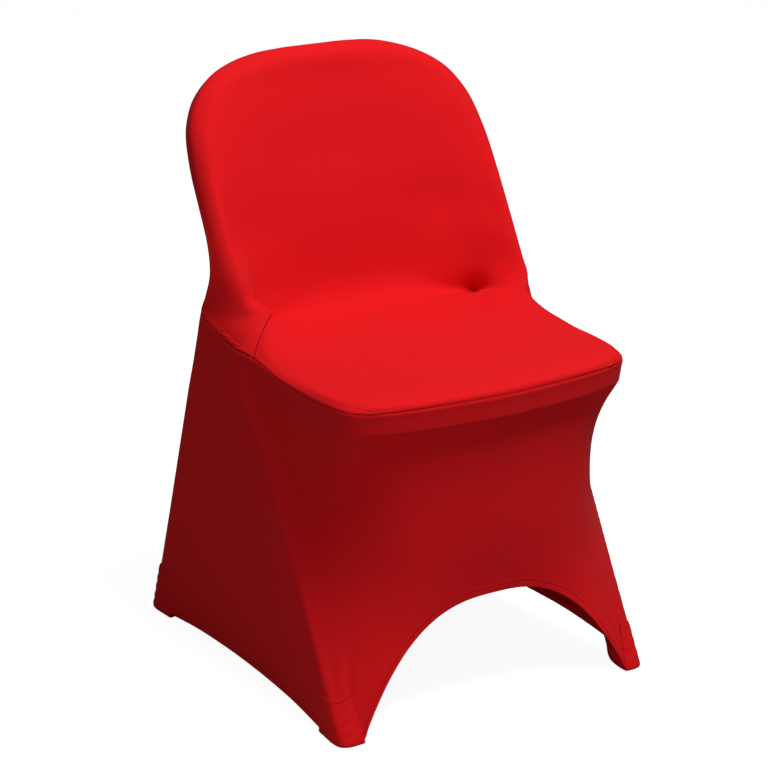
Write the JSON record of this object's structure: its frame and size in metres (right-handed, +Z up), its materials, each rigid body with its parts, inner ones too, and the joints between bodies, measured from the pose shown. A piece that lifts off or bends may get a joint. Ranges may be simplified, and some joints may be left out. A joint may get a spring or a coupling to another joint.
{
  "type": "stretch chair cover",
  "caption": "Fitted red stretch chair cover in its worn shape, with a rounded back hood, seat panel, tight skirt with arched hems and four foot pockets.",
  "frame": {"origin": "middle of the floor area that the worn cover takes up, at floor level", "axes": "+Z up, front of the seat towards -Y, +X to the right as seen from the front"},
  "size_m": [0.4871, 0.5804, 0.817],
  "materials": {
    "red_knit": "soft matte stretch knit, nylon or polyester with elastane"
  },
  "bodies": {
    "root": {"seat_and_back_panel": "red_knit", "skirt": "red_knit", "rear_panel": "red_knit", "foot_pocket_front_left": "red_knit", "foot_pocket_front_right": "red_knit", "foot_pocket_rear_left": "red_knit", "foot_pocket_rear_right": "red_knit"}
  },
  "joints": []
}
